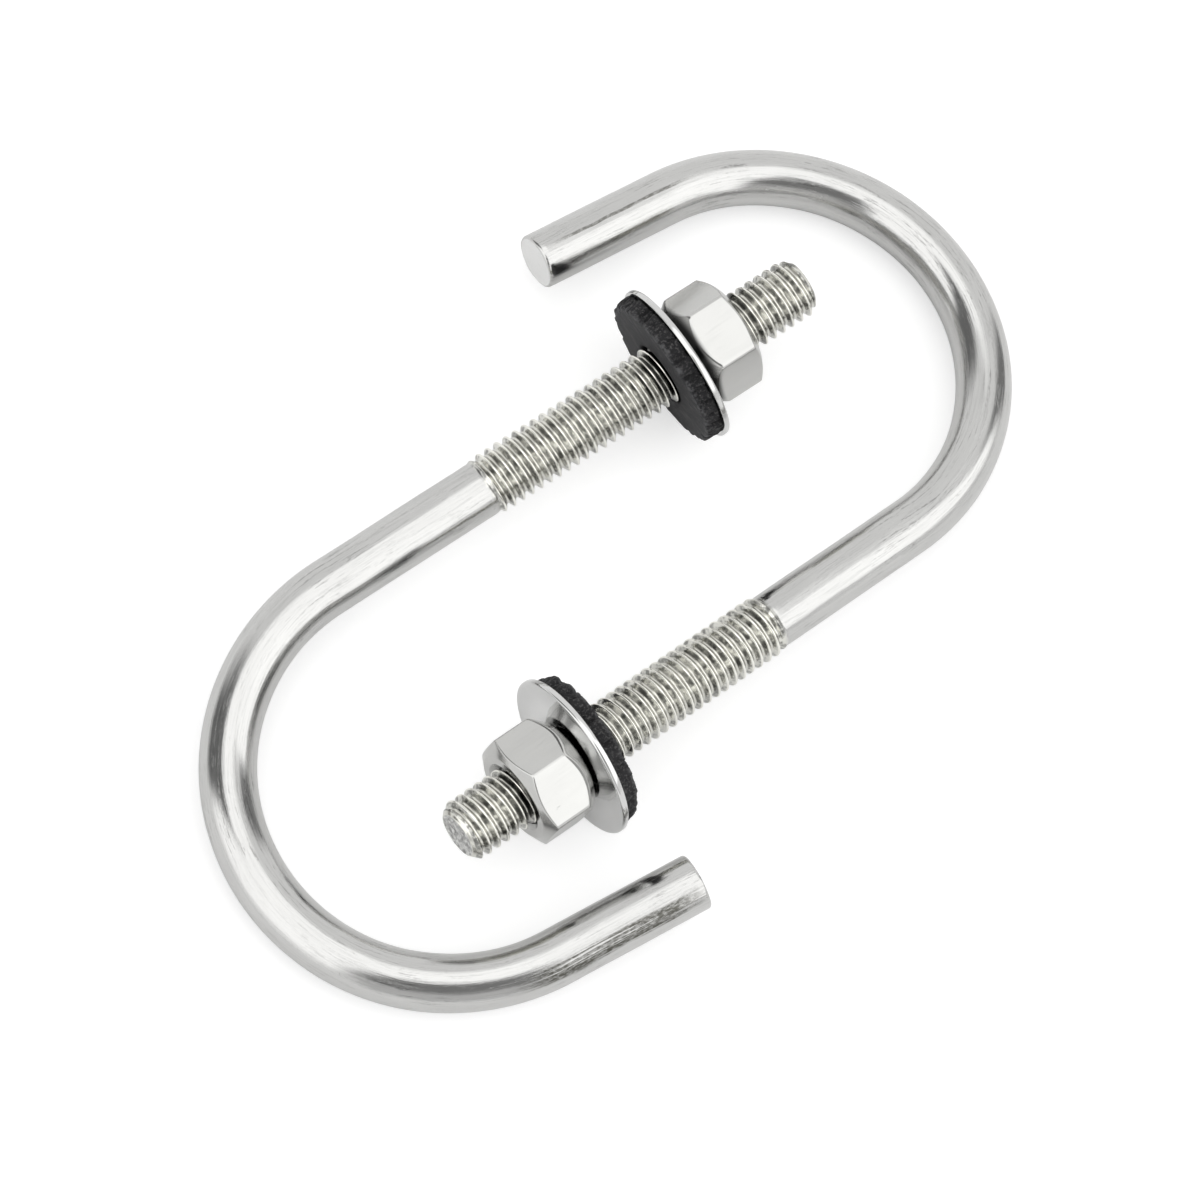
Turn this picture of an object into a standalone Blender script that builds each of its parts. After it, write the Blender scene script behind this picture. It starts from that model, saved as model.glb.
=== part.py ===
"""A pair of M6 stainless hook bolts (J-bolts), each with its rubber sealing
washer, flat washer and hexagon nut.

Scene frame: the table the pair rests on is z = 0, the origin is the middle of
the pair, +X runs along the left bolt's threaded leg towards its thread end and
+Z is up.  Each bolt lies as a loose one does: the rim of its flat washer and
the outside of its bend carry it, so the threaded leg slopes up a little.

Bolt frame (used to build one bolt): x runs along the threaded leg, x = 0 is
where the bend starts and x = LEG is the thread end; the hook lies in the x-y
plane on the -y side.

Turning frame: threads and solids of revolution are made about Z, then moved
into the bolt frame.  Sizes are millimetres, meshes are metres.
"""

import math

import bmesh
import bpy
from mathutils import Matrix, Vector

MM = 0.001

# ---------------------------------------------------------------------- bolt
ROD_D = 5.3            # rolled-thread blank: the plain rod is the pitch size
BEND_R = 19.8          # centreline radius of the bend
SPRING_BACK = 5.4      # degrees the bend stops short of a half turn
SHORT_LEG = 14.2       # straight part of the short leg
LEG = 52.5             # bend start to thread end

THREAD_X = 16.5        # where the thread's run-out starts on the long leg
PITCH = 1.0            # M6 coarse
THREAD_D = 5.9         # crest
CORE_D = 4.77          # root
CREST_W = 0.14         # crest flat
FLANK = math.radians(30)
END_CHAMFER_D = 4.5    # point diameter at the thread end
END_CHAMFER = math.radians(45)

ROD_TAPER = 2.0        # length over which the rod narrows inside the thread
ROD_TIP_INSET = 0.07   # rod's end below the thread root, in radius
FADE = math.radians(17)  # slope at which the crests rise out of the rod
FADE_INSET = 0.08      # start of that slope below the rod surface, in radius
FADE_LEAD = 0.15       # and ahead of THREAD_X
ENVELOPE_MARGIN = 0.3  # envelope radius beyond the crest

# ------------------------------------------------------- seal, washer and nut
SEAL_T, SEAL_D, SEAL_BORE = 1.6, 15.0, 6.2
WASHER_T, WASHER_D, WASHER_BORE = 0.6, 15.8, 6.4
STACK_GAP = 0.05       # seal to washer

NUT_X = 39.0           # nut's place before it is turned along the thread
NUT_H = 6.0
NUT_AF = 9.75          # across flats
NUT_MAJOR_D, NUT_MINOR_D = 6.12, 5.0
FLANK_GAP = 0.08       # added to half the tap's crest flat, clears the bolt
NUT_FACE_D, NUT_FACE_CHAMFER = 8.5, math.radians(30)  # free end
NUT_SEAT_D, NUT_SEAT_CHAMFER = 8.2, math.radians(48)  # washer side
NUT_BLANK_MARGIN = 0.4  # chamfering blank's radius beyond the corners
NUT_TAP_SPARE = 4      # turns of the tap beyond the nut's height
NUT_SINK_D = 6.3       # countersink at the face, 45 degree sides
SINK_INSET = 0.1       # countersink cutter's tip inside the thread's minor radius
SINK_OVERSHOOT = 0.5   # cutter's reach past the face

# ------------------------------------------------------------------ placement
# x, y, z place a bolt's origin.  Angles in degrees: heading about Z, rise of
# the long leg towards its thread end, roll by which the hook falls away.
# The seal stands at seal_x with the washer next to it; the nut stands a little
# off the washer, turned nut_turn degrees along the thread from NUT_X.
BOLTS = {
    "left": {
        "pose": dict(x=-23.603, y=12.276, z=4.686, heading=0.0, rise=4.79, roll=1.0),
        "seal_x": 36.5,
        "nut_turn": -18.9,
    },
    "right": {
        "pose": dict(x=24.572, y=-11.615, z=4.615, heading=182.89, rise=4.743, roll=0.872),
        "seal_x": 37.75,
        "nut_turn": 473.4,
    },
}

# ------------------------------------------------------------ mesh resolution
ROD_FACETS = 16        # round the thread and the rod
RING_FACETS = 32       # round washers and seals
BLANK_FACETS = 36      # round the nut's chamfering blank
CUTTER_FACETS = 24     # round the thread envelope and the countersinks
BEND_STEPS = 26

# welding distances in metres
MERGE = 0.000001
FINE_MERGE = 0.0000005

# turning frame to bolt frame: z -> x, x -> y, y -> z
TURNED_TO_BOLT = Matrix(((0, 0, 1, 0), (1, 0, 0, 0), (0, 1, 0, 0), (0, 0, 0, 1)))


# ------------------------------------------------------------------- helpers
def clear_scene():
    for obj in list(bpy.data.objects):
        bpy.data.objects.remove(obj, do_unlink=True)


def new_collection(name):
    col = bpy.data.collections.new(name)
    bpy.context.scene.collection.children.link(col)
    return col


def new_material(name, colour, metallic, roughness):
    mat = bpy.data.materials.new(name)
    mat.use_nodes = True
    shader = mat.node_tree.nodes["Principled BSDF"]
    shader.inputs["Base Color"].default_value = (*colour, 1.0)
    shader.inputs["Metallic"].default_value = metallic
    shader.inputs["Roughness"].default_value = roughness
    mat.diffuse_color = (*colour, 1.0)
    return mat


def add_object(name, data, col):
    obj = bpy.data.objects.new(name, data)
    col.objects.link(obj)
    return obj


def baked(obj, merge=0.0):
    """The evaluated mesh of obj with its transform applied; obj is removed."""
    bpy.context.view_layer.update()
    graph = bpy.context.evaluated_depsgraph_get()
    mesh = bpy.data.meshes.new_from_object(obj.evaluated_get(graph))
    mesh.transform(obj.matrix_world)
    bpy.data.objects.remove(obj, do_unlink=True)
    if merge:
        bm = bmesh.new()
        bm.from_mesh(mesh)
        bmesh.ops.remove_doubles(bm, verts=bm.verts, dist=merge)
        bmesh.ops.recalc_face_normals(bm, faces=bm.faces)
        bm.to_mesh(mesh)
        bm.free()
    return mesh


def outline(name, points, closed, col):
    """A polyline of (radius, height) points in the X-Z plane."""
    count = len(points)
    edges = [(i, i + 1) for i in range(count - 1)]
    if closed:
        edges.append((count - 1, 0))
    mesh = bpy.data.meshes.new(name)
    mesh.from_pydata([(radius * MM, 0, height * MM) for radius, height in points], edges, [])
    return add_object(name, mesh, col)


def add_screw(obj, name, steps):
    screw = obj.modifiers.new(name, "SCREW")
    screw.axis = "Z"
    screw.angle = 2 * math.pi
    screw.steps = steps
    screw.render_steps = steps
    return screw


def turned(name, points, steps, col, closed=False):
    """A solid of revolution about Z.  An open profile runs from axis to axis."""
    obj = outline(name, points, closed, col)
    screw = add_screw(obj, "turn", steps)
    screw.use_merge_vertices = True
    screw.merge_threshold = MERGE
    mesh = baked(obj, FINE_MERGE)
    mesh.name = name
    return mesh


def close_helix_ends(mesh, start, turns):
    """Closes each open end by a fan of faces to a point on the axis, half a
    pitch beyond the thread."""
    bm = bmesh.new()
    bm.from_mesh(mesh)
    rim = [edge for edge in bm.edges if edge.is_boundary]
    middle = start * MM + 0.5 * turns * PITCH * MM
    bottom_tip = (start - 0.5 * PITCH) * MM
    top_tip = (start + (turns + 1.5) * PITCH) * MM
    for is_top, level in ((False, bottom_tip), (True, top_tip)):
        edges = [edge for edge in rim if (edge.verts[0].co.z > middle) == is_top]
        tip = bm.verts.new((0, 0, level))
        for edge in edges:
            bm.faces.new((edge.verts[0], edge.verts[1], tip))
    bmesh.ops.recalc_face_normals(bm, faces=bm.faces)
    bm.to_mesh(mesh)
    bm.free()


def helix_solid(name, root_r, crest_r, half_crest, start, turns, col):
    """A threaded rod about Z: one pitch of thread form, screwed upwards."""
    rise = (crest_r - root_r) * math.tan(FLANK)
    mid = 0.5 * PITCH
    form = [
        (root_r, 0.0),
        (root_r, mid - half_crest - rise),
        (crest_r, mid - half_crest),
        (crest_r, mid + half_crest),
        (root_r, mid + half_crest + rise),
        (root_r, PITCH),
    ]
    obj = outline(name, [(radius, start + height) for radius, height in form], False, col)
    screw = add_screw(obj, "thread", ROD_FACETS)
    screw.screw_offset = PITCH * MM
    screw.iterations = turns
    mesh = baked(obj, MERGE)
    close_helix_ends(mesh, start, turns)
    mesh.name = name
    return mesh


def boolean(base, tool, operation, col):
    """base mesh (operation) tool mesh, by the exact solver."""
    obj = add_object("base", base, col)
    cutter = add_object("tool", tool, col)
    cutter.hide_render = True
    mod = obj.modifiers.new(operation.lower(), "BOOLEAN")
    mod.operation = operation
    mod.solver = "EXACT"
    mod.object = cutter
    mesh = baked(obj)
    bpy.data.objects.remove(cutter, do_unlink=True)
    return mesh


def finish(mesh, name, mat, sharp=35):
    """Drops slivers, names and shades the mesh; edges over sharp degrees stay hard."""
    bm = bmesh.new()
    bm.from_mesh(mesh)
    bmesh.ops.dissolve_degenerate(bm, dist=FINE_MERGE, edges=bm.edges)
    bmesh.ops.recalc_face_normals(bm, faces=bm.faces)
    bm.to_mesh(mesh)
    bm.free()
    mesh.name = name
    mesh.materials.clear()
    mesh.materials.append(mat)
    mesh.shade_smooth()
    mesh.set_sharp_from_angle(angle=math.radians(sharp))
    return mesh


# ---------------------------------------------------------------------- bolt
def bend_point(angle):
    """Centreline point of the bend, angle radians round from its start."""
    return Vector((-BEND_R * math.sin(angle), -BEND_R + BEND_R * math.cos(angle), 0))


def rod_mesh(col):
    """The bent rod, from the short leg's end round to inside the thread."""
    sweep = math.pi - math.radians(SPRING_BACK)
    along = Vector((-math.cos(sweep), -math.sin(sweep), 0))
    centres = [bend_point(sweep) + along * SHORT_LEG]
    centres += [bend_point(sweep * i / BEND_STEPS) for i in range(BEND_STEPS, -1, -1)]
    centres.append(Vector((THREAD_X, 0, 0)))
    centres.append(Vector((THREAD_X + ROD_TAPER, 0, 0)))

    curve = bpy.data.curves.new("rod", "CURVE")
    curve.dimensions = "3D"
    curve.bevel_depth = ROD_D / 2 * MM
    curve.bevel_resolution = ROD_FACETS // 2 - 2
    curve.use_fill_caps = True
    spline = curve.splines.new("POLY")
    spline.points.add(len(centres) - 1)
    for point, centre in zip(spline.points, centres):
        point.co = (*(centre * MM), 1.0)
        point.radius = 1.0
    spline.points[-1].radius = (CORE_D / 2 - ROD_TIP_INSET) / (ROD_D / 2)
    return baked(add_object("rod", curve, col), MERGE)


def thread_start():
    """Whole-millimetre start of the bolt's helix, before it is cut to length."""
    return math.floor(THREAD_X) - 1


def thread_mesh(col):
    """The bolt's thread, cut to length by a turned envelope that has the end's
    chamfer and the crests' fade at the run-out."""
    start = thread_start()
    turns = math.ceil(LEG - start) + 1
    thread = helix_solid("thread", CORE_D / 2, THREAD_D / 2, CREST_W / 2, start, turns, col)

    outside = THREAD_D / 2 + ENVELOPE_MARGIN
    fade_r = ROD_D / 2 - FADE_INSET
    fade_length = (outside - ROD_D / 2 + FADE_INSET) / math.tan(FADE)
    chamfer = (outside - END_CHAMFER_D / 2) * math.tan(END_CHAMFER)
    profile = [
        (0, LEG),
        (END_CHAMFER_D / 2, LEG),
        (outside, LEG - chamfer),
        (outside, THREAD_X + fade_length),
        (fade_r, THREAD_X - FADE_LEAD),
        (0, THREAD_X - FADE_LEAD),
    ]
    envelope = turned("envelope", profile, CUTTER_FACETS, col)
    thread = boolean(thread, envelope, "INTERSECT", col)
    thread.transform(TURNED_TO_BOLT)
    return thread


def hook_bolt_mesh(col):
    return boolean(rod_mesh(col), thread_mesh(col), "UNION", col)


# ----------------------------------------------------------- washers and nut
def ring_mesh(name, bore, outer, thick, col):
    """A flat ring that stands on x = 0 and reaches x = thick."""
    profile = [(outer / 2, thick), (outer / 2, 0), (bore / 2, 0), (bore / 2, thick)]
    mesh = turned(name, profile, RING_FACETS, col, closed=True)
    mesh.transform(TURNED_TO_BOLT)
    return mesh


def hex_prism():
    corner_r = NUT_AF / 2 / math.cos(math.pi / 6)
    bpy.ops.mesh.primitive_cylinder_add(
        vertices=6,
        radius=corner_r * MM,
        depth=NUT_H * MM,
        location=(0, 0, NUT_H / 2 * MM),
    )
    return baked(bpy.context.object)


def nut_blank(col):
    """Turned blank that chamfers the corners, more steeply at the seat."""
    wide = NUT_AF / 2 / math.cos(math.pi / 6) + NUT_BLANK_MARGIN
    drop = (wide - NUT_FACE_D / 2) * math.tan(NUT_FACE_CHAMFER)
    lift = (wide - NUT_SEAT_D / 2) * math.tan(NUT_SEAT_CHAMFER)
    profile = [
        (0, NUT_H),
        (NUT_FACE_D / 2, NUT_H),
        (wide, NUT_H - drop),
        (wide, lift),
        (NUT_SEAT_D / 2, 0),
        (0, 0),
    ]
    return turned("blank", profile, BLANK_FACETS, col)


def nut_tap(col):
    """Internal thread, in step with the bolt's when the nut stands at NUT_X."""
    start = thread_start() - NUT_X
    # moved by whole pitches to begin just below the nut
    start += math.floor(-1.5 - start)
    deeper = (NUT_MAJOR_D - THREAD_D) / 2
    half_crest = CREST_W / 2 - deeper * math.tan(FLANK) + FLANK_GAP
    turns = int(NUT_H) + NUT_TAP_SPARE
    return helix_solid("tap", NUT_MINOR_D / 2, NUT_MAJOR_D / 2, half_crest, start, turns, col)


def countersinks(col):
    """Yields the free end's cutter, then the seat's."""
    depth = (NUT_SINK_D - NUT_MINOR_D) / 2 + SINK_INSET
    tip_r = NUT_MINOR_D / 2 - SINK_INSET
    wide = NUT_SINK_D / 2 + SINK_OVERSHOOT
    above, below = NUT_H + SINK_OVERSHOOT, -SINK_OVERSHOOT
    for profile in (
        [(0, above), (wide, above), (tip_r, NUT_H - depth), (0, NUT_H - depth)],
        [(0, depth), (tip_r, depth), (wide, below), (0, below)],
    ):
        yield turned("sink", profile, CUTTER_FACETS, col)


def hex_nut_mesh(col):
    """Nut from x = 0 (washer side) to x = NUT_H, a flat facing +y."""
    body = boolean(hex_prism(), nut_blank(col), "INTERSECT", col)
    body = boolean(body, nut_tap(col), "DIFFERENCE", col)
    for sink in countersinks(col):
        body = boolean(body, sink, "DIFFERENCE", col)
    body.transform(TURNED_TO_BOLT)
    return body


# ------------------------------------------------------------------ assembly
def piece_meshes(col):
    """The four finished meshes, shared by both bolts."""
    bolt_mat = new_material("bolt_steel", (0.78, 0.77, 0.74), metallic=1.0, roughness=0.22)
    washer_mat = new_material("washer_steel", (0.80, 0.79, 0.76), metallic=1.0, roughness=0.16)
    nut_mat = new_material("nut_steel", (0.82, 0.81, 0.78), metallic=1.0, roughness=0.24)
    rubber_mat = new_material("seal_rubber", (0.02, 0.02, 0.022), metallic=0.0, roughness=0.8)

    seal = ring_mesh("rubber_seal", SEAL_BORE, SEAL_D, SEAL_T, col)
    washer = ring_mesh("flat_washer", WASHER_BORE, WASHER_D, WASHER_T, col)
    return {
        "hook_bolt": finish(hook_bolt_mesh(col), "hook_bolt", bolt_mat),
        "rubber_seal": finish(seal, "rubber_seal", rubber_mat),
        "flat_washer": finish(washer, "flat_washer", washer_mat),
        "hex_nut": finish(hex_nut_mesh(col), "hex_nut", nut_mat, sharp=25),
    }


def pose_matrix(x, y, z, heading, rise, roll):
    return (
        Matrix.Translation(Vector((x, y, z)) * MM)
        @ Matrix.Rotation(math.radians(heading), 4, "Z")
        @ Matrix.Rotation(math.radians(-rise), 4, "Y")
        @ Matrix.Rotation(math.radians(roll), 4, "X")
    )


def assemble_bolt(side, meshes, pose, seal_x, nut_turn, col):
    """One bolt and its fittings, each with its origin on the thread axis."""
    frame = add_object(side + "_bolt_frame", None, col)
    frame.matrix_world = pose_matrix(**pose)
    # a right-hand thread carries a turned nut along by turn / 360 pitches
    nut_x = NUT_X + PITCH * nut_turn / 360
    # piece, x along the thread axis, turn about it in degrees
    places = (
        ("hook_bolt", 0, 0),
        ("rubber_seal", seal_x, 0),
        ("flat_washer", seal_x + SEAL_T + STACK_GAP, 0),
        ("hex_nut", nut_x, nut_turn),
    )
    for piece, x, turn in places:
        obj = add_object(f"{side}_{piece}", meshes[piece], col)
        obj.parent = frame
        obj.location = (x * MM, 0, 0)
        obj.rotation_euler = (math.radians(turn), 0, 0)


def main():
    clear_scene()
    pair = new_collection("hook_bolt_pair")
    meshes = piece_meshes(new_collection("cutters"))
    for side, settings in BOLTS.items():
        assemble_bolt(side, meshes, col=pair, **settings)

    # the meshes used up while building
    for mesh in list(bpy.data.meshes):
        if not mesh.users:
            bpy.data.meshes.remove(mesh)
    bpy.context.view_layer.update()


main()
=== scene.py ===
"""A pair of M6 hook bolts, each with nut, washer and rubber seal, built around
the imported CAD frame, with procedural steel and rubber, a pale floor and a soft
studio.

Bolt frame (millimetres): x runs along the threaded leg, with x = 0 at the start
of the bend and x = LEG at the thread end; the hook lies on the -y side.  The
"pipe" attribute holds the same frame with the rod unrolled, so x goes on below
zero through the bend and the short leg, down to END_X.
Nuts, washers and seals turn about the same x axis; x = 0 is their face towards
the bend.
"""
import math

import bmesh
import bpy
import numpy as np
from mathutils import Matrix, Vector, noise


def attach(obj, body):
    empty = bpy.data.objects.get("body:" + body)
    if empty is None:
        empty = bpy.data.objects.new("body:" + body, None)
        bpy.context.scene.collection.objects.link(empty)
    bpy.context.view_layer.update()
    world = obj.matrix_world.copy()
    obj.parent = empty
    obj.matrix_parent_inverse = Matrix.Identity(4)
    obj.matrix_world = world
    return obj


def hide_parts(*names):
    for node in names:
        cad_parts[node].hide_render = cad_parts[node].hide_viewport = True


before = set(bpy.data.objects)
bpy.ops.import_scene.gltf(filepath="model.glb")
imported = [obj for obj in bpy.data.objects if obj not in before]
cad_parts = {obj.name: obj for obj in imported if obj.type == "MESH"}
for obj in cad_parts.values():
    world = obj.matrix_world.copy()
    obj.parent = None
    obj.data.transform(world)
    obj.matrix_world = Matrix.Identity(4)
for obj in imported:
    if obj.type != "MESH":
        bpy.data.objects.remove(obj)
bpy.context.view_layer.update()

MM = 0.001

# bolt
ROD_R = 2.65
BEND_R = 19.8
SWEEP = math.pi - math.radians(5.4)      # a half turn less the spring-back
SHORT_LEG = 14.2
LEG = 52.5
END_X = -(BEND_R * SWEEP + SHORT_LEG)    # unrolled place of the plain end
THREAD_X = 16.5                          # the thread runs from here to LEG
THREAD_START = THREAD_X - 2.0            # where the helix is counted from
PITCH = 1.0
CREST_R, ROOT_R = 2.95, 2.385
CROP_R = 2.2                             # cropped face of the threaded end
ROLLOVER = 0.28                          # rolled edge of the plain end

# seal and washer
SEAL_T, SEAL_R, SEAL_BORE_R = 1.6, 7.5, 3.05
WASHER_T, WASHER_R, WASHER_BORE_R = 0.6, 7.9, 3.2
WASHER_GAP = 0.05                        # between seal and washer

# nut: seat face towards the washer, free face towards the thread end
NUT_X = 39.0
NUT_H = 6.0
NUT_HALF = 9.75 / 2                      # half the width across flats
NUT_FREE_R, NUT_SEAT_R, NUT_SINK_R = 4.25, 4.1, 3.45

# Per bolt: place of its frame and its angles in degrees; where the seal stands
# and how seal and washer lean (yaw, pitch); the nut's turn away from NUT_X; the
# dark scores on the short leg; the grey painted as shade on the nut's seat end,
# and where the painted dark shade on its chamfer begins and is full.
SIDES = {
    "left": dict(
        place=(-23.603, 12.276, 4.686), heading=0.0, rise=4.79, roll=1.0,
        seal_x=36.5, lean=(1.3, -1.6), nut_turn=-18.9,
        scores=dict(middle=END_X + 9.5, half_length=10.5, angle=math.radians(52),
                    half_width=0.40, strength=0.95),
        seat=dict(shade=0.16, shade_edge=1.10, shade_full=0.45),
    ),
    "right": dict(
        place=(24.572, -11.615, 4.615), heading=182.89, rise=4.743, roll=0.872,
        seal_x=37.75, lean=(-1.3, 0.8), nut_turn=473.4,
        scores=dict(middle=END_X + 9.0, half_length=8.5, angle=math.radians(93),
                    half_width=0.075, strength=0.75),
        seat=dict(shade=0.60, shade_edge=0.05, shade_full=-0.10),
    ),
}


# ------------------------------------------------------------------ helpers
def rotation(degrees, axis):
    return Matrix.Rotation(math.radians(degrees), 4, axis)


def shift_x(distance):
    return Matrix.Translation((distance * MM, 0, 0))


def smooth(t):
    t = np.clip(t, 0.0, 1.0)
    return t * t * (3 - 2 * t)


def soft_min(first, second, blend):
    """The lesser of two values, rounded where they come within blend."""
    h = np.clip(0.5 + 0.5 * (second - first) / blend, 0, 1)
    return second * (1 - h) + first * h - blend * h * (1 - h)


def perlin(points, scale, seed):
    """Perlin noise at (..., 3) points, about -1 to 1."""
    shift = Vector((seed * 17.31, seed * -9.7, seed * 5.13))
    scaled = points / scale
    values = [noise.noise(Vector(point) + shift) for point in scaled.reshape(-1, 3)]
    return np.array(values).reshape(scaled.shape[:-1])


def circle(segments):
    return np.arange(segments) / segments * 2 * math.pi


def turned(x, radius, angle):
    """Points round the x axis, (..., 3); angle 0 is +y.  The arguments broadcast."""
    parts = (x, radius * np.cos(angle), radius * np.sin(angle))
    return np.stack(np.broadcast_arrays(*parts), -1)


class Surface:
    """Collects vertices (mm), their unrolled rod coordinates and faces."""

    def __init__(self):
        self.points, self.pipe, self.faces, self.count = [], [], [], 0

    def keep(self, points, pipe):
        self.points.append(np.reshape(points, (-1, 3)))
        self.pipe.append(np.reshape(pipe, (-1, 3)))
        self.count += len(self.points[-1])

    def rows(self, points, pipe=None, wrap=0):
        """Skins (rows, segments, 3) points; (row, last) joins (row + wrap, 0)."""
        rows, segments = points.shape[:2]
        base = self.count
        self.keep(points, points if pipe is None else pipe)
        row = np.arange(rows - 1)
        for i in range(segments - 1):
            a = base + row * segments + i
            self.faces.append(np.stack([a, a + 1, a + segments + 1, a + segments], 1))
        row = row[row + wrap + 1 < rows]
        last = base + row * segments + segments - 1
        first = base + (row + wrap) * segments
        self.faces.append(np.stack([last, first, first + segments, last + segments], 1))

    def fan(self, segments, tip, pipe):
        """Closes the newest ring with triangles to one point."""
        centre = self.count
        self.keep(tip, pipe)
        i = np.arange(segments)
        ring = centre - segments
        tips = np.full(segments, centre)
        self.faces.append(np.stack([ring + i, ring + (i + 1) % segments, tips, tips], 1))

    def mesh(self, name, merge=0.0004, sharp=None):
        """Welds points closer than merge (mm); sharp is a crease angle in degrees."""
        mesh = bpy.data.meshes.new(name)
        quads = np.concatenate(self.faces).tolist()
        faces = [quad[:3] if quad[2] == quad[3] else quad for quad in quads]
        mesh.from_pydata((np.concatenate(self.points) * MM).tolist(), [], faces)
        attribute = mesh.attributes.new("pipe", "FLOAT_VECTOR", "POINT")
        pipe = np.concatenate(self.pipe).astype(np.float32)
        attribute.data.foreach_set("vector", pipe.ravel())
        bm = bmesh.new()
        bm.from_mesh(mesh)
        bmesh.ops.remove_doubles(bm, verts=bm.verts, dist=merge * MM)
        bmesh.ops.dissolve_degenerate(bm, dist=0.5e-7, edges=bm.edges)
        bmesh.ops.recalc_face_normals(bm, faces=bm.faces)
        loose = [vert for vert in bm.verts if not vert.link_faces]
        bmesh.ops.delete(bm, geom=loose, context="VERTS")
        bm.to_mesh(mesh)
        bm.free()
        mesh.shade_smooth()
        if sharp:
            mesh.set_sharp_from_angle(angle=math.radians(sharp))
        return mesh


# ------------------------------------------------------------------- thread
# where one pitch is sampled: distances either side of the crest at 0.5
CREST_STEPS = [
    0.0, 0.02, 0.04, 0.058, 0.075, 0.09, 0.13, 0.19, 0.25, 0.30, 0.335, 0.365, 0.395, 0.43, 0.47,
]
PHASES = np.array(sorted(
    [0.0] + [0.5 + step for step in CREST_STEPS] + [0.5 - step for step in CREST_STEPS[1:]]
))


def thread_depth(phase):
    """Depth below the crest over one pitch (crest at 0.5): a narrow rounded
    crest, straight flanks of about 60 degrees and a rounded root."""
    crest_half, crest_drop = 0.075, 0.030
    flank_slope = 1.72
    root_half, root_rise, root_blend = 0.12, 0.02, 0.09
    away = np.abs((np.asarray(phase) % 1.0) - 0.5)
    crest = crest_drop * np.minimum(away / crest_half, 1.0) ** 2
    flank = np.clip(away - crest_half, 0, None) * flank_slope
    root = (CREST_R - ROOT_R) - root_rise * np.clip((0.5 - away) / root_half, 0, 1) ** 2
    return soft_min(crest + flank, root, root_blend)


def helix(start, turns, angle):
    """Phase of each row, and x of its points, for rows that follow the helix.
    One turn is len(PHASES) rows, which is the wrap such rows need."""
    step = np.arange(turns * len(PHASES))
    phase = PHASES[step % len(PHASES)]
    x = start + PITCH * (step // len(PHASES) + phase)
    return phase, x[:, None] + PITCH * angle / (2 * math.pi)


# -------------------------------------------------------------------- bolts
def threaded_leg(surface, angle, seed):
    phase, x = helix(THREAD_START, int(LEG - THREAD_X) + 4, angle)
    form = 1 - (thread_depth(phase) / thread_depth(0.0))[:, None]
    # the form grows out of the plain rod
    root = ROD_R + (ROOT_R - ROD_R) * smooth((x - THREAD_X) / 1.7)
    crest = ROD_R + (CREST_R - ROD_R) * smooth((x - THREAD_X) / 1.3)
    # rolled crests wander a little in height along the leg
    crest = crest - 0.012 * (0.5 + 0.5 * np.sin(x * 2.3 + seed))
    radius = root + (crest - root) * form
    dings = perlin(turned(x * 0.9, radius, angle), scale=1.6, seed=seed)
    radius = radius - 0.05 * form * smooth((dings - 0.33) / 0.25)
    # 45 degree chamfer at the end, a little out of round
    bulge = 0.06 * np.cos(angle * 2 + seed) + 0.04 * np.cos(angle * 3 + 2 * seed)
    chamfer = CROP_R + (LEG - x) + bulge * smooth((LEG - x) / 0.25)
    radius = np.minimum(radius, np.where(x < LEG, chamfer, CROP_R))
    x = np.clip(x, THREAD_X, LEG)
    radius = np.where(x <= THREAD_X, ROD_R, radius)
    surface.rows(turned(x, radius, angle), wrap=len(PHASES))


def cropped_end(surface, angle, seed):
    """Face of the threaded end: slightly dished and torn by the shear."""
    radius = np.array([CROP_R, 2.17, 2.05, 1.8, 1.5, 1.2, 0.9, 0.6, 0.3])[:, None]
    face = turned(LEG, radius, angle)
    torn = (
        0.15 * perlin(face * [1, 1, 0.45], scale=0.9, seed=seed + 3)
        + 0.07 * perlin(face, scale=0.35, seed=seed + 5)
    )
    dish = 0.10 * smooth((2.05 - radius) / 0.4)
    face[..., 0] += torn * smooth((CROP_R - radius) / 0.3) - dish
    surface.rows(face)
    surface.fan(len(angle), tip=(LEG - 0.1, 0, 0), pipe=(LEG, 0, 0))


def on_hook(unrolled):
    """Bends unrolled rod coordinates (..., 3) into the hook."""
    along, across, z = np.moveaxis(np.asarray(unrolled, float), -1, 0)
    turn = np.clip(-along / BEND_R, 0, SWEEP)
    straight = along + BEND_R * turn
    x = straight * np.cos(turn) - (BEND_R + across) * np.sin(turn)
    y = straight * np.sin(turn) + (BEND_R + across) * np.cos(turn) - BEND_R
    return np.stack([x, y, z], -1)


def plain_rod(angle, seed):
    """Plain leg, bend and short leg in unrolled coordinates."""
    along = np.concatenate([
        np.linspace(THREAD_X, 0, 30),
        -BEND_R * np.linspace(0, SWEEP, 120)[1:],
        -BEND_R * SWEEP - np.linspace(0, SHORT_LEG - ROLLOVER, 30)[1:],
    ])[:, None]
    line = turned(along, ROD_R, angle)
    uneven = (
        0.045 * perlin(line * [0.45, 1, 1], scale=4.5, seed=seed + 10)
        + 0.016 * perlin(line * [0.35, 1, 1], scale=2.2, seed=seed + 11)
        + 0.004 * perlin(line * [0.4, 1, 1], scale=0.9, seed=seed + 12)
    )
    fade = smooth((THREAD_X - along) / 1.5)
    return turned(along, ROD_R + uneven * fade, angle)


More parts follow.
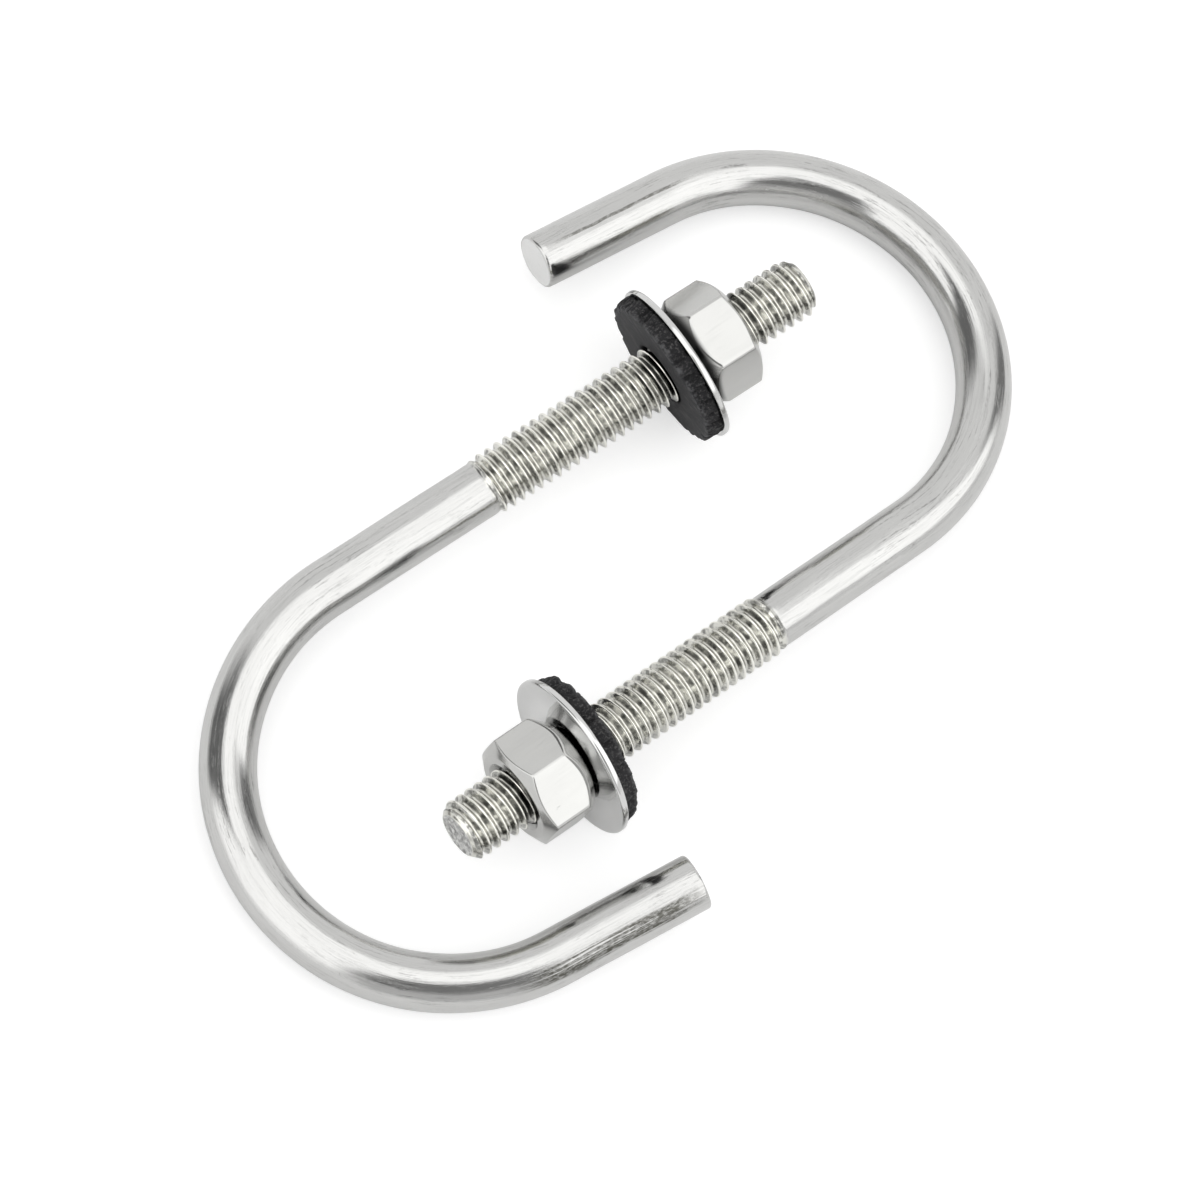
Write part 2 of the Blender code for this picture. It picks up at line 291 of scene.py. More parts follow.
def sheared_end(angle, seed):
    """Plain end in unrolled coordinates: a rolled-over edge, then the cut face."""
    edge = ROLLOVER * (1 + 0.35 * np.sin(angle * 2 + seed) + 0.2 * np.sin(angle * 5 + 2 * seed))
    roll = np.radians([15, 30, 45, 60, 75, 90])[:, None]
    shrink = np.array([0.97, 0.9, 0.75, 0.6, 0.45, 0.3, 0.15])[:, None]
    radius = np.vstack([ROD_R - edge * (1 - np.cos(roll)), (ROD_R - edge) * shrink])
    reach = np.vstack([ROLLOVER * np.sin(roll), np.full_like(shrink, ROLLOVER)])
    flat = turned(0.0, radius, angle)
    bump = (
        0.035 * perlin(flat, scale=1.1, seed=seed + 21)
        + 0.012 * perlin(flat, scale=0.3, seed=seed + 22)
    )
    reach = reach + bump * smooth((2.25 - radius) / 0.6)
    return turned(END_X + ROLLOVER - reach, radius, angle)


def bolt_mesh(name, seed):
    angle = circle(96)
    surface = Surface()
    threaded_leg(surface, angle, seed)
    cropped_end(surface, angle, seed)
    pipe = np.concatenate([plain_rod(angle, seed), sheared_end(angle, seed)])
    # the bend flattens the rod in the hook plane and swells it out of it
    along = pipe[..., :1]
    squash = 0.012 * smooth((1 - along) / 5) * smooth((along + BEND_R * SWEEP + 1) / 5)
    factors = np.concatenate([np.ones_like(squash), 1 - squash, 1 + 0.5 * squash], -1)
    surface.rows(on_hook(pipe * factors), pipe)
    surface.fan(len(angle), tip=on_hook((END_X, 0, 0)), pipe=(END_X, 0, 0))
    return surface.mesh(name)


# --------------------------------------------------------------------- nuts
# degrees from a corner towards the middle of a flat, dense at the corner
CORNER_STEPS = [0, 0.5, 1.0, 1.6, 2.3, 3.2, 4.4, 6, 8.5, 12, 16, 20, 25]
# depths of the rows below the seat face and below the free face
SEAT_DEPTHS = (
    0.02, 0.05, 0.1, 0.2, 0.3, 0.4, 0.5, 0.6, 0.7, 0.8, 0.9, 1.0, 1.1, 1.2, 1.3, 1.4,
    1.5, 1.6, 1.7, 1.8, 1.95, 2.2, 2.6, NUT_H / 2,
)
FREE_DEPTHS = (
    0.02, 0.05, 0.1, 0.17, 0.24, 0.3, 0.35, 0.4, 0.45, 0.5, 0.55, 0.6, 0.65, 0.7, 0.75,
    0.8, 0.86, 0.93, 1.02, 1.15, 1.4, 1.8, 2.4,
)


def nut_angles():
    """Angles round the nut; corners stand at 30, 90, ... degrees."""
    sector = CORNER_STEPS + [30] + [60 - step for step in reversed(CORNER_STEPS[1:])]
    angles = [np.radians(sector) + math.radians(30 + 60 * k) for k in range(6)]
    return np.sort(np.mod(np.concatenate(angles), 2 * math.pi))


def nut_end(hexagon, face_r, chamfer, blend, depths):
    """Radii and depths of the rows of an end face and of its chamfer cone, which
    stands at chamfer degrees to the face and blends into the flats."""
    rings = (NUT_SINK_R, NUT_SINK_R + 0.03, NUT_SINK_R + 0.1, 3.8, face_r - 0.07, face_r - 0.02)
    slope = 1 / math.tan(math.radians(chamfer))
    radii = [np.full_like(hexagon, ring) for ring in rings]
    radii += [soft_min(hexagon, face_r + slope * depth, blend) for depth in depths]
    return np.array(radii), np.array([0.0] * len(rings) + list(depths))[:, None]


def nut_outside(surface, angle, seed):
    # two flats meet in an eased corner
    off = np.radians((np.degrees(angle) + 30) % 60 - 30)
    flat = NUT_HALF / np.cos(off)
    next_flat = NUT_HALF / np.cos(math.radians(60) - np.abs(off))
    hexagon = soft_min(flat, next_flat, 0.38)
    seat_r, seat_x = nut_end(hexagon, NUT_SEAT_R, chamfer=48, blend=0.20, depths=SEAT_DEPTHS)
    free_r, free_x = nut_end(hexagon, NUT_FREE_R, chamfer=30, blend=0.14, depths=FREE_DEPTHS)
    radius = np.vstack([seat_r, free_r[::-1]])
    x = np.vstack([seat_x, NUT_H - free_x[::-1]])
    # cold-formed flats are not dead flat
    on_flats = smooth((radius - NUT_HALF + 0.4) / 0.3)
    wave = perlin(turned(x, radius, angle), scale=3.5, seed=seed)
    surface.rows(turned(x, radius + 0.010 * wave * on_flats, angle))


def nut_bore(surface, angle):
    """Internal thread in step with the bolt's, opened by countersinks."""
    offset = THREAD_START - NUT_X
    phase, x = helix(math.floor(-1.5 - offset) + offset, int(NUT_H) + 5, angle)
    radius = (CREST_R + 0.07 - thread_depth(phase))[:, None]
    radius = np.maximum(radius, ROOT_R + 0.12)
    inside = np.clip(x, 0, NUT_H)
    sink = NUT_SINK_R - np.minimum(inside, NUT_H - inside) * 1.1
    radius = np.maximum(radius, sink)
    radius = np.where((x <= 0) | (x >= NUT_H), NUT_SINK_R, radius)
    surface.rows(turned(inside, radius, angle), wrap=len(PHASES))


def nut_mesh(name, seed):
    angle = nut_angles()
    surface = Surface()
    nut_outside(surface, angle, seed)
    nut_bore(surface, angle)
    return surface.mesh(name, merge=0.0003, sharp=40)


# ------------------------------------------------------- washers and seals
def ring_mesh(name, profile, segments, wobble):
    """profile: loop of (radius, x); wobble(angle, radius, x) moves the points."""
    angle = circle(segments)
    loop = np.array(profile + profile[:1], float)[:, :, None] * np.ones(segments)
    radius, x = wobble(angle, loop[:, 0], loop[:, 1])
    surface = Surface()
    surface.rows(turned(x, radius, angle))
    return surface.mesh(name)


def arc(centre, radius, start, end, steps):
    """Points of an arc between two angles in degrees."""
    angles = [math.radians(start + (end - start) * i / steps) for i in range(steps + 1)]
    return [
        (centre[0] + radius * math.cos(a), centre[1] + radius * math.sin(a)) for a in angles
    ]


def washer_mesh(name, seed):
    top, rim, bore = WASHER_T, WASHER_R, WASHER_BORE_R
    # the punched edge rolls over on the nut side and stays crisp on the other
    rolled, crisp, bore_edge = 0.26, 0.06, 0.12
    profile = [
        (rim - 0.9, 0.0), (rim - 0.4, 0.0),
        *arc((rim - crisp, crisp), crisp, -90, 0, 3),
        *arc((rim - rolled, top - rolled), rolled, 0, 90, 8),
        (rim - 0.6, top), (rim - 1.4, top), (rim - 2.6, top), (bore + 1.0, top), (bore + 0.4, top),
        *arc((bore + bore_edge, top - bore_edge), bore_edge, 90, 180, 4),
        *arc((bore + crisp, crisp), crisp, 180, 270, 3),
        (bore + 0.6, 0.0), (rim - 2.6, 0.0),
    ]

    def wobble(angle, radius, x):
        """Stamped sheet: faintly dished, edge a touch uneven."""
        wave = perlin(turned(x, radius, angle), scale=6.0, seed=seed)
        at_edge = smooth((radius - (rim - 0.5)) / 0.4)
        dish = 0.02 * smooth((radius - 6.0) / 2.0)
        return radius + 0.02 * wave * at_edge, x + 0.015 * wave - dish

    return ring_mesh(name, profile, 192, wobble)


def seal_mesh(name, seed):
    top, rim, bore = SEAL_T, SEAL_R, SEAL_BORE_R
    width = rim - bore
    profile = [
        (bore + 0.08, 0.04), (bore + 0.35, 0.0),
        *[(bore + width * f, 0.0) for f in (0.2, 0.32, 0.44, 0.56, 0.68, 0.78, 0.86, 0.92)],
        (rim - 0.22, 0.01), (rim - 0.10, 0.05), (rim - 0.03, 0.14),
        *[(rim, top * f) for f in (0.2, 0.32, 0.44, 0.56, 0.68, 0.8)],
        (rim - 0.03, top - 0.14), (rim - 0.10, top - 0.05), (rim - 0.22, top - 0.01),
        *[(bore + width * f, top) for f in (0.9, 0.7, 0.4, 0.15)],
        (bore + 0.08, top - 0.04), (bore, top - 0.2), (bore, top * 0.5), (bore, 0.2),
    ]

    def wobble(angle, radius, x):
        at_edge = smooth((radius - (rim - 1.1)) / 0.9)
        side = turned(x * 0.6, 8, angle)
        broad = perlin(side * [0.2, 1, 1], scale=4.2, seed=seed)
        middle = perlin(side, scale=1.35, seed=seed + 1)
        fine = perlin(side, scale=0.5, seed=seed + 2)
        tear = perlin(side * [0.5, 1, 1], scale=0.9, seed=seed + 3)
        nick = perlin(side * [0.15, 1, 1], scale=0.62, seed=seed + 6)
        edge = 0.24 * broad + 0.22 * middle + 0.14 * fine
        edge -= 0.34 * smooth((tear - 0.25) / 0.3) + 0.32 * smooth((nick - 0.22) / 0.12)
        # the die-cut side runs out towards the washer
        edge += 0.22 * (x / top - 0.6)
        # thickness bulges where the blunt die pulled the sheet
        face = turned(x * 0.3, radius, angle)
        swell = perlin(face, scale=3.4, seed=seed + 4)
        grain = perlin(face, scale=0.8, seed=seed + 5)
        ripple = 0.05 * swell * at_edge + 0.008 * grain
        washer_side = np.minimum(x + 0.2 * ripple, top)
        x = np.where(x > top / 2, washer_side, x - 0.6 * ripple)
        return radius + (edge - 0.06) * at_edge, x

    return ring_mesh(name, profile, 320, wobble)


# ---------------------------------------------------------------- materials
class Nodes:
    """Short calls that add linked shader nodes and return their output."""

    def __init__(self, tree):
        self.tree = tree
        tree.nodes.clear()

    def add(self, kind, **settings):
        node = self.tree.nodes.new(kind)
        for key, value in settings.items():
            setattr(node, key, value)
        return node

    def put(self, socket, value):
        if isinstance(value, bpy.types.NodeSocket):
            self.tree.links.new(value, socket)
        else:
            socket.default_value = value

    def math(self, operation, a, b=0.0, c=None):
        node = self.add("ShaderNodeMath", operation=operation)
        self.put(node.inputs[0], a)
        self.put(node.inputs[1], b)
        if c is not None:
            self.put(node.inputs[2], c)
        return node.outputs[0]

    def times(self, a, b):
        return self.math("MULTIPLY", a, b)

    def plus(self, total, mask, amount):
        """total + mask * amount"""
        return self.math("ADD", total, self.times(mask, amount))

    def scaled(self, value, gain, offset):
        return self.math("MULTIPLY_ADD", value, gain, offset)

    def centred(self, value):
        """A 0 to 1 noise moved to -0.5 to 0.5."""
        return self.math("SUBTRACT", value, 0.5)

    def angle_from(self, angle, centre):
        """Unsigned angle between two directions, in radians."""
        difference = self.math("SUBTRACT", angle, centre)
        return self.math("ABSOLUTE", self.math("WRAP", difference, math.pi, -math.pi))

    def ramp(self, value, zero, one):
        """Smooth step: 0 where value is zero, 1 where it is one."""
        node = self.add("ShaderNodeMapRange", interpolation_type="SMOOTHSTEP")
        self.put(node.inputs["Value"], value)
        self.put(node.inputs["From Min"], zero)
        self.put(node.inputs["From Max"], one)
        return node.outputs["Result"]

    def mix(self, mask, under, over, strength=None):
        """Lays the colour over on under where mask is 1, scaled by strength."""
        if strength is not None:
            mask = self.times(mask, strength)
        node = self.add("ShaderNodeMix", data_type="RGBA")
        self.put(node.inputs[0], mask)
        for socket, colour in ((node.inputs[6], under), (node.inputs[7], over)):
            self.put(socket, (*colour, 1.0) if isinstance(colour, tuple) else colour)
        return node.outputs[2]

    def noise(self, vector, scale, detail, rough, distortion=0.0, stretch=None,
              shift=(0.0, 0.0, 0.0)):
        """Noise; stretch multiplies the vector first, and shift is then added."""
        if stretch:
            mapping = self.add("ShaderNodeMapping")
            self.put(mapping.inputs["Vector"], vector)
            self.put(mapping.inputs["Scale"], stretch)
            self.put(mapping.inputs["Location"], shift)
            vector = mapping.outputs[0]
        node = self.add("ShaderNodeTexNoise")
        self.put(node.inputs["Vector"], vector)
        self.put(node.inputs["Scale"], scale)
        self.put(node.inputs["Detail"], detail)
        self.put(node.inputs["Roughness"], rough)
        self.put(node.inputs["Distortion"], distortion)
        return node.outputs["Fac"]

    def rod(self, shift):
        """The pipe attribute, plain and shifted for the noises."""
        plain = self.add("ShaderNodeAttribute", attribute_name="pipe").outputs["Vector"]
        moved = self.add("ShaderNodeVectorMath", operation="ADD")
        self.put(moved.inputs[0], plain)
        self.put(moved.inputs[1], shift)
        return plain, moved.outputs[0]

    def axes(self, vector):
        node = self.add("ShaderNodeSeparateXYZ")
        self.put(node.inputs[0], vector)
        return node.outputs

    def x_and_radius(self, vector):
        x, y, z = self.axes(vector)
        squares = self.math("ADD", self.math("POWER", y, 2.0), self.math("POWER", z, 2.0))
        return x, self.math("SQRT", squares)

    def bump(self, height, strength, distance):
        node = self.add("ShaderNodeBump")
        self.put(node.inputs["Strength"], strength)
        self.put(node.inputs["Distance"], distance)
        self.put(node.inputs["Height"], height)
        return node.outputs[0]


def new_material(name):
    """A material with one Principled shader; returns it, its Nodes and inputs."""
    material = bpy.data.materials.new(name)
    material.use_nodes = True
    n = Nodes(material.node_tree)
    output = n.add("ShaderNodeOutputMaterial")
    shader = n.add("ShaderNodeBsdfPrincipled")
    n.put(output.inputs[0], shader.outputs[0])
    return material, n, shader.inputs


def thread_wear_and_shading(n, rod, p, base, gloss):
    """Thread and both ends: crests and roots are painted pale, partly as burnished
    wear and partly as painted highlight; flanks are painted dark and patchy as
    painted shade."""
    x, radius = n.x_and_radius(rod)
    on = n.ramp(x, zero=THREAD_X + 0.1, one=THREAD_X + 0.8)
    # painted shade: dark, patchy flanks; painted highlight: pale crests and roots, partly
    # burnished wear
    patch = n.noise(p, stretch=(0.8, 1.0, 1.0), scale=1.05, detail=4.0, rough=0.65)
    patch = n.ramp(patch, zero=0.41, one=0.59)
    form = n.mix(patch, (0.23, 0.23, 0.216), (0.74, 0.735, 0.69))
    form = n.mix(n.ramp(radius, zero=2.48, one=2.42), form, (0.66, 0.655, 0.61))
    form = n.mix(n.ramp(radius, zero=2.79, one=2.88), form, (0.90, 0.893, 0.84))
    base = n.mix(on, base, form)
    gloss = n.math("SUBTRACT", gloss, n.times(on, 0.05))
    # the cropped face is torn and dull inside its bright chamfer
    crop = n.times(n.ramp(x, zero=LEG - 0.40, one=LEG - 0.22), n.ramp(radius, zero=2.16, one=2.02))
    torn = n.ramp(n.noise(p, scale=2.2, detail=5.0, rough=0.7), zero=0.38, one=0.62)
    base = n.mix(crop, base, n.mix(torn, (0.22, 0.22, 0.215), (0.70, 0.70, 0.69)))
    gloss = n.plus(gloss, crop, amount=0.20)
    # the sheared plain end is paler and more matt than the drawn rod
    tip = n.times(n.ramp(x, zero=END_X + 0.12, one=END_X + 0.03),
                  n.ramp(radius, zero=2.50, one=2.30))
    base = n.mix(tip, base, (0.78, 0.78, 0.775))
    return base, n.plus(gloss, tip, amount=0.38)


def draw_scores(n, rod, p, base, gloss, height, middle, half_length, angle, half_width, strength):
    """A bundle of dark scores along the short leg that starts and stops,
    wandering a little round the rod."""
    x, y, z = n.axes(rod)
    around = n.math("ARCTAN2", z, y)
    wander = n.noise(p, stretch=(0.12, 0.0, 0.0), scale=1.0, detail=2.0, rough=0.5)
    around = n.plus(around, n.centred(wander), amount=0.35)
    away = n.angle_from(around, angle)
    along = n.math("ABSOLUTE", n.math("SUBTRACT", x, middle))
    ragged = n.noise(p, stretch=(0.30, 1.6, 1.6), scale=1.5, detail=4.0, rough=0.7)
    away = n.plus(away, n.centred(ragged), amount=0.7 * half_width)
    area = n.times(n.ramp(away, zero=half_width, one=half_width * 0.55),
                   n.ramp(along, zero=half_length, one=half_length * 0.55))
    if half_width > 0.1:     # a wide bundle splits into fine lines
        fine = n.noise(p, stretch=(0.05, 2.3, 2.3), scale=2.2, detail=3.0, rough=0.6)
        area = n.times(area, n.ramp(fine, zero=0.38, one=0.50))
    crack = n.noise(p, stretch=(1.2, 3.0, 3.0), scale=1.6, detail=3.0, rough=0.7)
    breaks = n.scaled(n.ramp(crack, zero=0.36, one=0.58), gain=0.5, offset=0.5)
    area = n.times(area, breaks)
    base = n.mix(area, base, (0.085, 0.083, 0.070), strength=strength)
    gloss = n.plus(gloss, area, amount=0.12)
    return base, gloss, n.plus(height, area, amount=n.times(crack, 1.2))


def paint_seat_shade(n, rod, base, painted_shade, shade, shade_edge, shade_full):
    """Paints the seat end of the nut a given grey that stands in for its shade, and paints dark
    shade on its chamfer.
    """
    x, radius = n.x_and_radius(rod)
    # painted shade: the seat end takes a given grey
    base = n.mix(n.ramp(x, zero=1.5, one=0.5), base, (shade, shade, shade * 0.985))
    low = n.math("SUBTRACT", x, n.times(n.math("SUBTRACT", radius, NUT_SEAT_R), 0.35))
    # painted dark shade on the seat end, fading along the chamfer towards the flats
    return n.mix(n.ramp(low, zero=shade_edge, one=shade_full), base, painted_shade, strength=0.96)


def steel(name, seed, tint, rough, streak, gap, painted_shade=(0.010, 0.010, 0.010), scores=None,
          painted_light=None, seat=None):
    """Bright stainless: fine drawing lines, handling marks and a slow variation
    of gloss.  streak scales the lines; gap is the openness at which the dark
    colour, a painted shade, begins and is full; the pale colour is painted light
    laid on half-open places."""
    material, n, shader = new_material(name)
    rod, p = n.rod((seed * 31.0, seed * 7.0, seed * -13.0))
    lines = n.noise(p, stretch=(0.06, 3.2, 3.2), scale=2.0, detail=4.0, rough=0.65)
    hair = n.noise(p, stretch=(0.25, 9.0, 9.0), scale=2.0, detail=2.0, rough=0.5)
    cloud = n.noise(p, stretch=(0.35, 1, 1), scale=0.55, detail=3.0, rough=0.5)
    grain = n.noise(p, scale=14.0, detail=2.0, rough=0.6)
    marks = n.noise(p, stretch=(0.9, 1.4, 1.4), scale=1.7, detail=4.0, rough=0.7, distortion=0.6)
    mark = n.ramp(marks, zero=0.66, one=0.74)
    # colour: slow drift and drawing lines
    base = n.mix(n.ramp(cloud, zero=0.3, one=0.7), tuple(c * 0.955 for c in tint), tint)
    base = n.mix(n.ramp(lines, zero=0.50, one=0.70), base, (0.33, 0.33, 0.325),
                 strength=0.22 * streak)
    # drawing scores: thin dark lines that start and stop, with crumbs in them
    score = n.noise(p, stretch=(0.10, 1.7, 1.7), shift=(3.0, 0.0, 5.0),
                    scale=2.6, detail=5.0, rough=0.75, distortion=0.5)
    crumb = n.noise(p, stretch=(1.6, 4.0, 4.0), scale=1.5, detail=3.0, rough=0.7)
    where = n.noise(p, stretch=(0.5, 1, 1), shift=(9.0, 2.0, 0.0),
                    scale=0.32, detail=2.0, rough=0.5)
    where = n.ramp(where, zero=0.45, one=0.60)
    cut = n.times(n.ramp(score, zero=0.53, one=0.62), n.ramp(crumb, zero=0.34, one=0.54))
    cut = n.times(cut, n.scaled(where, gain=0.55, offset=0.20))
    base = n.mix(cut, base, (0.20, 0.20, 0.195), strength=0.85 * streak)
    base = n.mix(mark, base, (0.30, 0.29, 0.28), strength=0.30)
    gloss = n.plus(rough, n.centred(lines), amount=0.08 * streak)
    gloss = n.plus(gloss, n.centred(cloud), amount=0.08)
    gloss = n.plus(gloss, mark, amount=0.12)
    # lengthwise scuffs spread the light into the dark reflections
    scuff = n.noise(p, stretch=(0.09, 2.0, 2.0), shift=(1.0, 7.0, 4.0),
                    scale=2.4, detail=5.0, rough=0.7, distortion=0.4)
    broken = n.noise(p, stretch=(0.9, 1.6, 1.6), shift=(5.0, 1.0, 2.0),
                     scale=1.3, detail=3.0, rough=0.6)
    scuff = n.times(n.ramp(scuff, zero=0.50, one=0.60), n.ramp(broken, zero=0.38, one=0.55))
    gloss = n.plus(gloss, scuff, amount=0.15 * streak)
    height = n.plus(n.times(lines, 0.55 * streak), hair, amount=0.22 * streak)
    height = n.plus(height, grain, amount=0.10)
    if scores:
        base, gloss = thread_wear_and_shading(n, rod, p, base, gloss)
        base, gloss, height = draw_scores(n, rod, p, base, gloss, height, **scores)
    # painted shade: the colour goes dark where two pieces nearly touch
    near = n.add("ShaderNodeAmbientOcclusion", samples=6)
    near.inputs["Distance"].default_value = 0.003
    openness = near.outputs["AO"]
    # painted light: half-open places are painted paler
    if painted_light:
        base = n.mix(n.ramp(openness, zero=0.92, one=0.62), base, painted_light)
    # painted shade in narrow gaps, from the ambient occlusion
    base = n.mix(n.ramp(openness, zero=gap[0], one=gap[1]), base, painted_shade)
    if seat:
        base = paint_seat_shade(n, rod, base, painted_shade, **seat)
    n.put(shader["Base Color"], base)
    n.put(shader["Metallic"], 1.0)
    n.put(shader["Roughness"], n.math("MAXIMUM", gloss, 0.04))
    n.put(shader["Normal"], n.bump(height, strength=0.32, distance=0.00005))
    return material


def rubber(name, seed):
    material, n, shader = new_material(name)
    rod, p = n.rod((seed * 3.0, seed * 17.0, seed * 11.0))
    cloud = n.noise(p, scale=0.45, detail=4.0, rough=0.6)
    grain = n.noise(p, scale=9.0, detail=4.0, rough=0.65)
    dust = n.noise(p, scale=3.2, detail=5.0, rough=0.75, distortion=0.4)
    base = n.mix(n.ramp(cloud, zero=0.35, one=0.65), (0.007, 0.007, 0.008), (0.017, 0.0165, 0.018))
    base = n.mix(n.ramp(dust, zero=0.56, one=0.68), base, (0.17, 0.165, 0.165), strength=0.5)
    # the moulded face is painted greyer than the die-cut side as painted sheen, and its edge
    # carries a patchy painted highlight
    x, radius = n.x_and_radius(rod)
    face = n.times(n.ramp(x, zero=0.25, one=0.05),
                   n.ramp(radius, zero=SEAL_R - 0.05, one=SEAL_R - 0.45))
    base = n.mix(face, base, (0.045, 0.045, 0.048), strength=0.75)
    # painted highlight along the outer edge of the face
    edge_highlight = n.times(n.ramp(x, zero=0.55, one=0.15),
                  n.ramp(radius, zero=SEAL_R - 0.75, one=SEAL_R - 0.40))
    patchy = n.noise(p, scale=1.6, detail=4.0, rough=0.7)
    edge_highlight = n.times(edge_highlight, n.ramp(patchy, zero=0.42, one=0.60))
    base = n.mix(edge_highlight, base, (0.13, 0.13, 0.135), strength=0.6)
    # thin scrapes on the face, a narrow band of one noise
    scrape = n.noise(p, stretch=(1.0, 0.22, 1.9), scale=1.5, detail=2.0, rough=0.5, distortion=0.3)
    scrape = n.times(n.ramp(scrape, zero=0.60, one=0.64), n.ramp(scrape, zero=0.69, one=0.65))
    base = n.mix(n.times(scrape, face), base, (0.16, 0.16, 0.165), strength=0.45)
    # pale specks on the side
    speck = n.ramp(n.noise(p, scale=4.2, detail=3.0, rough=0.6), zero=0.52, one=0.64)
    side = n.ramp(radius, zero=SEAL_R - 0.50, one=SEAL_R - 0.25)
    base = n.mix(n.times(speck, side), base, (0.085, 0.083, 0.083), strength=0.7)
    n.put(shader["Base Color"], base)
    n.put(shader["Roughness"], n.plus(0.52, grain, amount=0.28))
    n.put(shader["Specular IOR Level"], 0.26)
    height = n.plus(grain, dust, amount=0.8)
    n.put(shader["Normal"], n.bump(height, strength=0.9, distance=0.00012))
    return material


# ---------------------------------------------------------------- the pair
def add_piece(name, mesh, material, matrix, node):
    mesh.transform(matrix)
    obj = bpy.data.objects.new(name, mesh)
    bpy.context.scene.collection.objects.link(obj)
    mesh.materials.append(material)
    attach(obj, name)
    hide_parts(node)


def add_set(side, k):
    """One bolt with its seal, washer and nut; k varies the seeds."""
    data = SIDES[side]
    place = (
        Matrix.Translation(Vector(data["place"]) * MM)
        @ rotation(data["heading"], "Z")
        @ rotation(-data["rise"], "Y")
        @ rotation(data["roll"], "X")
    )
    yaw, pitch = data["lean"]
    stack = place @ shift_x(data["seal_x"]) @ rotation(yaw, "Z") @ rotation(pitch, "Y")
    turn = data["nut_turn"]
    nut_place = place @ shift_x(NUT_X + PITCH * turn / 360) @ rotation(turn, "X")

    bolt_steel = steel(
        side + "_bolt_steel", seed=k + 1.0, tint=(0.572, 0.570, 0.562), rough=0.115,
        streak=1.0, gap=(0.52, 0.28), scores=data["scores"],
    )
    nut_steel = steel(
        side + "_nut_steel", seed=k + 5.0, tint=(0.565, 0.564, 0.552), rough=0.14,
        streak=0.10, gap=(0.27, 0.10), seat=data["seat"],
    )
    washer_steel = steel(
        side + "_washer_steel", seed=k + 8.0, tint=(0.66, 0.66, 0.655), rough=0.07,
        streak=0.12, gap=(0.22, 0.06), painted_shade=(0.02, 0.02, 0.02), painted_light=(0.82, 0.82, 0.815),
    )
    seal_rubber = rubber(side + "_seal_rubber", seed=k + 2.0)

    bolt = bolt_mesh(side + "_hook_bolt_fine", seed=1.7 + 4.1 * k)
    add_piece(side + "_bolt", bolt, bolt_steel, place, side + "_hook_bolt")
    seal = seal_mesh(side + "_seal_fine", seed=2.3 + 3.7 * k)
    add_piece(side + "_seal", seal, seal_rubber, stack, side + "_rubber_seal")
    washer = washer_mesh(side + "_washer_fine", seed=4.2 + k)
    add_piece(side + "_washer", washer, washer_steel, stack @ shift_x(SEAL_T + WASHER_GAP),
              side + "_flat_washer")
    nut = nut_mesh(side + "_nut_fine", seed=6.1 + k)
    add_piece(side + "_nut", nut, nut_steel, nut_place, side + "_hex_nut")


# ------------------------------------------------------------ floor, light
def floor():
    bpy.ops.mesh.primitive_plane_add(size=6.0, location=(0, 0, 0))
    obj = bpy.context.object
    obj.name = "floor"
    material, n, shader = new_material("pale_floor")
    seen = n.add("ShaderNodeLightPath").outputs["Is Camera Ray"]
    n.put(shader["Base Color"], n.mix(seen, (0.90, 0.90, 0.90), (0.55, 0.55, 0.55)))
    # overlit to the camera, as on a light table, so only contact shadows show
    n.put(shader["Emission Color"], (1, 1, 1, 1))
    n.put(shader["Emission Strength"], n.times(seen, 0.58))
    n.put(shader["Roughness"], 0.9)
    n.put(shader["Specular IOR Level"], 0.0)
    obj.data.materials.append(material)


# Panels and seams of the light tent, each laid over those before.  Degrees:
# azimuth of the middle, half width, softness; then from the zenith down: top,
# softness, bottom, softness.  Last, brightness.
PANELS = [
    (46, 60, 4, 22, 6, 130, 5, 0.55),     # back panel, dim
    (128, 13, 5, 26, 6, 84, 5, 0.11),     # seam, rear left
    (173, 30, 5, 12, 6, 80, 8, 0.90),     # left panel
    (172, 33, 8, 80, 4, 130, 5, 0.66),    # left panel, lower part
    (305, 40, 6, 12, 6, 76, 6, 0.95),     # front right panel
    (308, 36, 6, 77, 5, 130, 5, 0.50),    # front right panel, lower part
    (352, 10, 4, 48, 6, 92, 4, 0.15),     # seam, right
]


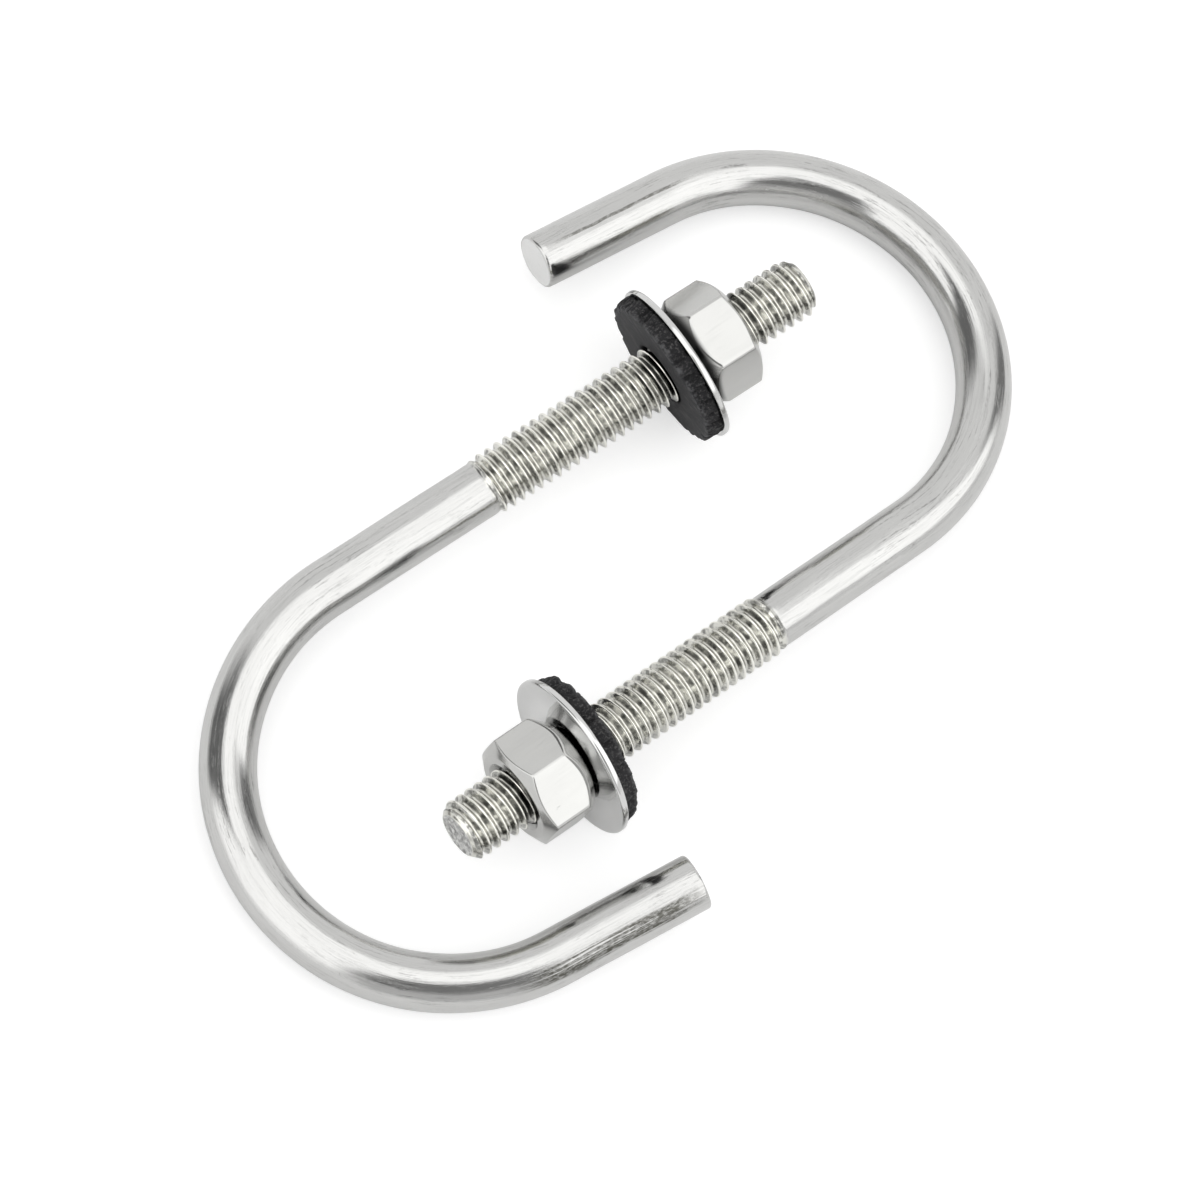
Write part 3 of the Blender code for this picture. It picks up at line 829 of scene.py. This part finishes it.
def studio():
    """A soft white dome with a bright lid and three broad panels, the gaps
    between them darker, as a light tent has them."""
    world = bpy.data.worlds.new("studio")
    bpy.context.scene.world = world
    world.use_nodes = True
    n = Nodes(world.node_tree)
    output = n.add("ShaderNodeOutputWorld")
    background = n.add("ShaderNodeBackground")
    n.put(output.inputs[0], background.outputs[0])
    x, y, z = n.axes(n.add("ShaderNodeTexCoord").outputs["Generated"])
    azimuth = n.math("ARCTAN2", y, x)
    down = n.math("ARCCOSINE", z)          # angle from the zenith
    deg = math.radians

    def grey(value):
        return (value, value, value * 0.995)

    # bare wall, darker above
    value = n.mix(n.ramp(down, zero=deg(50), one=deg(64)), grey(0.15), grey(0.38))
    for middle, half, soft, top, top_soft, bottom, bottom_soft, brightness in PANELS:
        away = n.angle_from(azimuth, deg(middle))
        across = n.ramp(away, zero=deg(half + soft), one=deg(half - soft))
        below = n.ramp(down, zero=deg(top - top_soft), one=deg(top + top_soft))
        above = n.ramp(down, zero=deg(bottom + bottom_soft), one=deg(bottom - bottom_soft))
        value = n.mix(n.times(n.times(across, below), above), value, grey(brightness))
    # the lid comes down furthest at azimuth 50 degrees, over the back panel
    lean = n.math("COSINE", n.math("SUBTRACT", azimuth, deg(50)))
    edge = n.scaled(lean, gain=deg(5.0), offset=deg(23))
    lid = n.ramp(n.math("SUBTRACT", down, edge), zero=deg(4), one=deg(-4))
    n.put(background.inputs["Color"], n.mix(lid, value, grey(0.90)))
    n.put(background.inputs["Strength"], 1.81)


def camera():
    target = Vector((-2.24, -0.937, 0)) * MM
    distance = 0.382
    cam = bpy.data.cameras.new("camera")
    cam.sensor_width = 36
    cam.lens = 124.68
    cam.clip_start = 0.01
    cam.clip_end = 20
    obj = bpy.data.objects.new("camera", cam)
    bpy.context.scene.collection.objects.link(obj)
    world_to_view = rotation(35.5, "Z") @ rotation(-12.85, "X") @ rotation(15.56, "Y")
    view = world_to_view.transposed()
    obj.matrix_world = Matrix.Translation(target + view @ Vector((0, 0, distance))) @ view
    bpy.context.scene.camera = obj


for index, side_name in enumerate(SIDES):
    add_set(side_name, index)
floor()
studio()
camera()
bpy.context.scene.view_settings.view_transform = "Standard"
